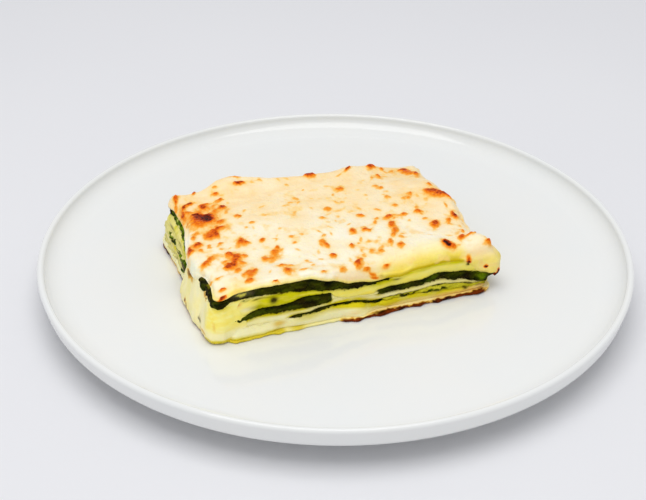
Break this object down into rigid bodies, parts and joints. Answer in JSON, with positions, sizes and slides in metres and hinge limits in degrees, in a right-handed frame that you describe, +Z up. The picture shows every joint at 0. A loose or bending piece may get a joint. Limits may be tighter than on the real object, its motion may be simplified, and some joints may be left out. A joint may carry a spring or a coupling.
{
  "type": "plate of spinach lasagna",
  "caption": "Rectangular slice of spinach lasagna with a browned cream top and layered cut sides, served on a round flat white plate with a low rim.",
  "frame": {"origin": "on the plate's axis, level with the underside of the foot ring that it stands on", "axes": "+Z up along the plate's axis, +X along the slice's long cut face, which looks towards -Y"},
  "size_m": [0.27, 0.27, 0.0405],
  "materials": {
    "porcelain": "gloss",
    "gratin": "satin",
    "pasta": "satin",
    "cream": "satin",
    "spinach": "satin"
  },
  "bodies": {
    "root": {"plate": "porcelain", "pasta_base": "pasta", "cream_base": "cream", "spinach_lower": "spinach", "cream_middle": "cream", "spinach_middle": "spinach", "pasta_middle": "pasta", "spinach_upper": "spinach", "gratin_top": "gratin", "pasta_fold": "pasta"}
  },
  "joints": []
}
